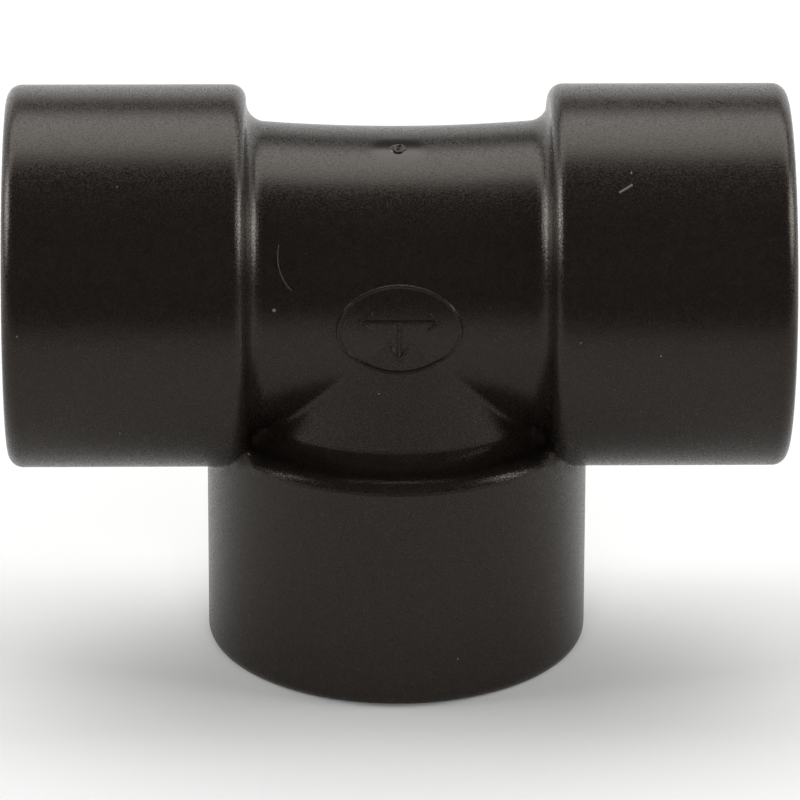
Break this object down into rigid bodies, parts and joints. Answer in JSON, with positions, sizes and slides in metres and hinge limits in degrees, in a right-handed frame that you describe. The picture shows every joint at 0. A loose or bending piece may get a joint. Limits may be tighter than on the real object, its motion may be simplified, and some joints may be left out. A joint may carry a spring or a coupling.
{
  "type": "pipe tee fitting",
  "caption": "Equal pipe tee moulded in black plastic, with a female tapered thread in each thick socket collar.",
  "frame": {"origin": "centre of the branch mouth, on the plane of its flat face, which the tee stands on", "axes": "+X along the run, from the left mouth to the right; the branch points down, along -Z; the marked side faces -Y"},
  "size_m": [0.0944, 0.0464, 0.0704],
  "materials": {
    "moulding": "satin"
  },
  "bodies": {
    "root": {"run_barrel": "moulding", "branch_neck": "moulding", "left_socket": "moulding", "right_socket": "moulding", "branch_socket": "moulding", "left_thread": "moulding", "right_thread": "moulding", "branch_thread": "moulding", "oval_mark": "moulding", "gate_vestige": "moulding"}
  },
  "joints": []
}
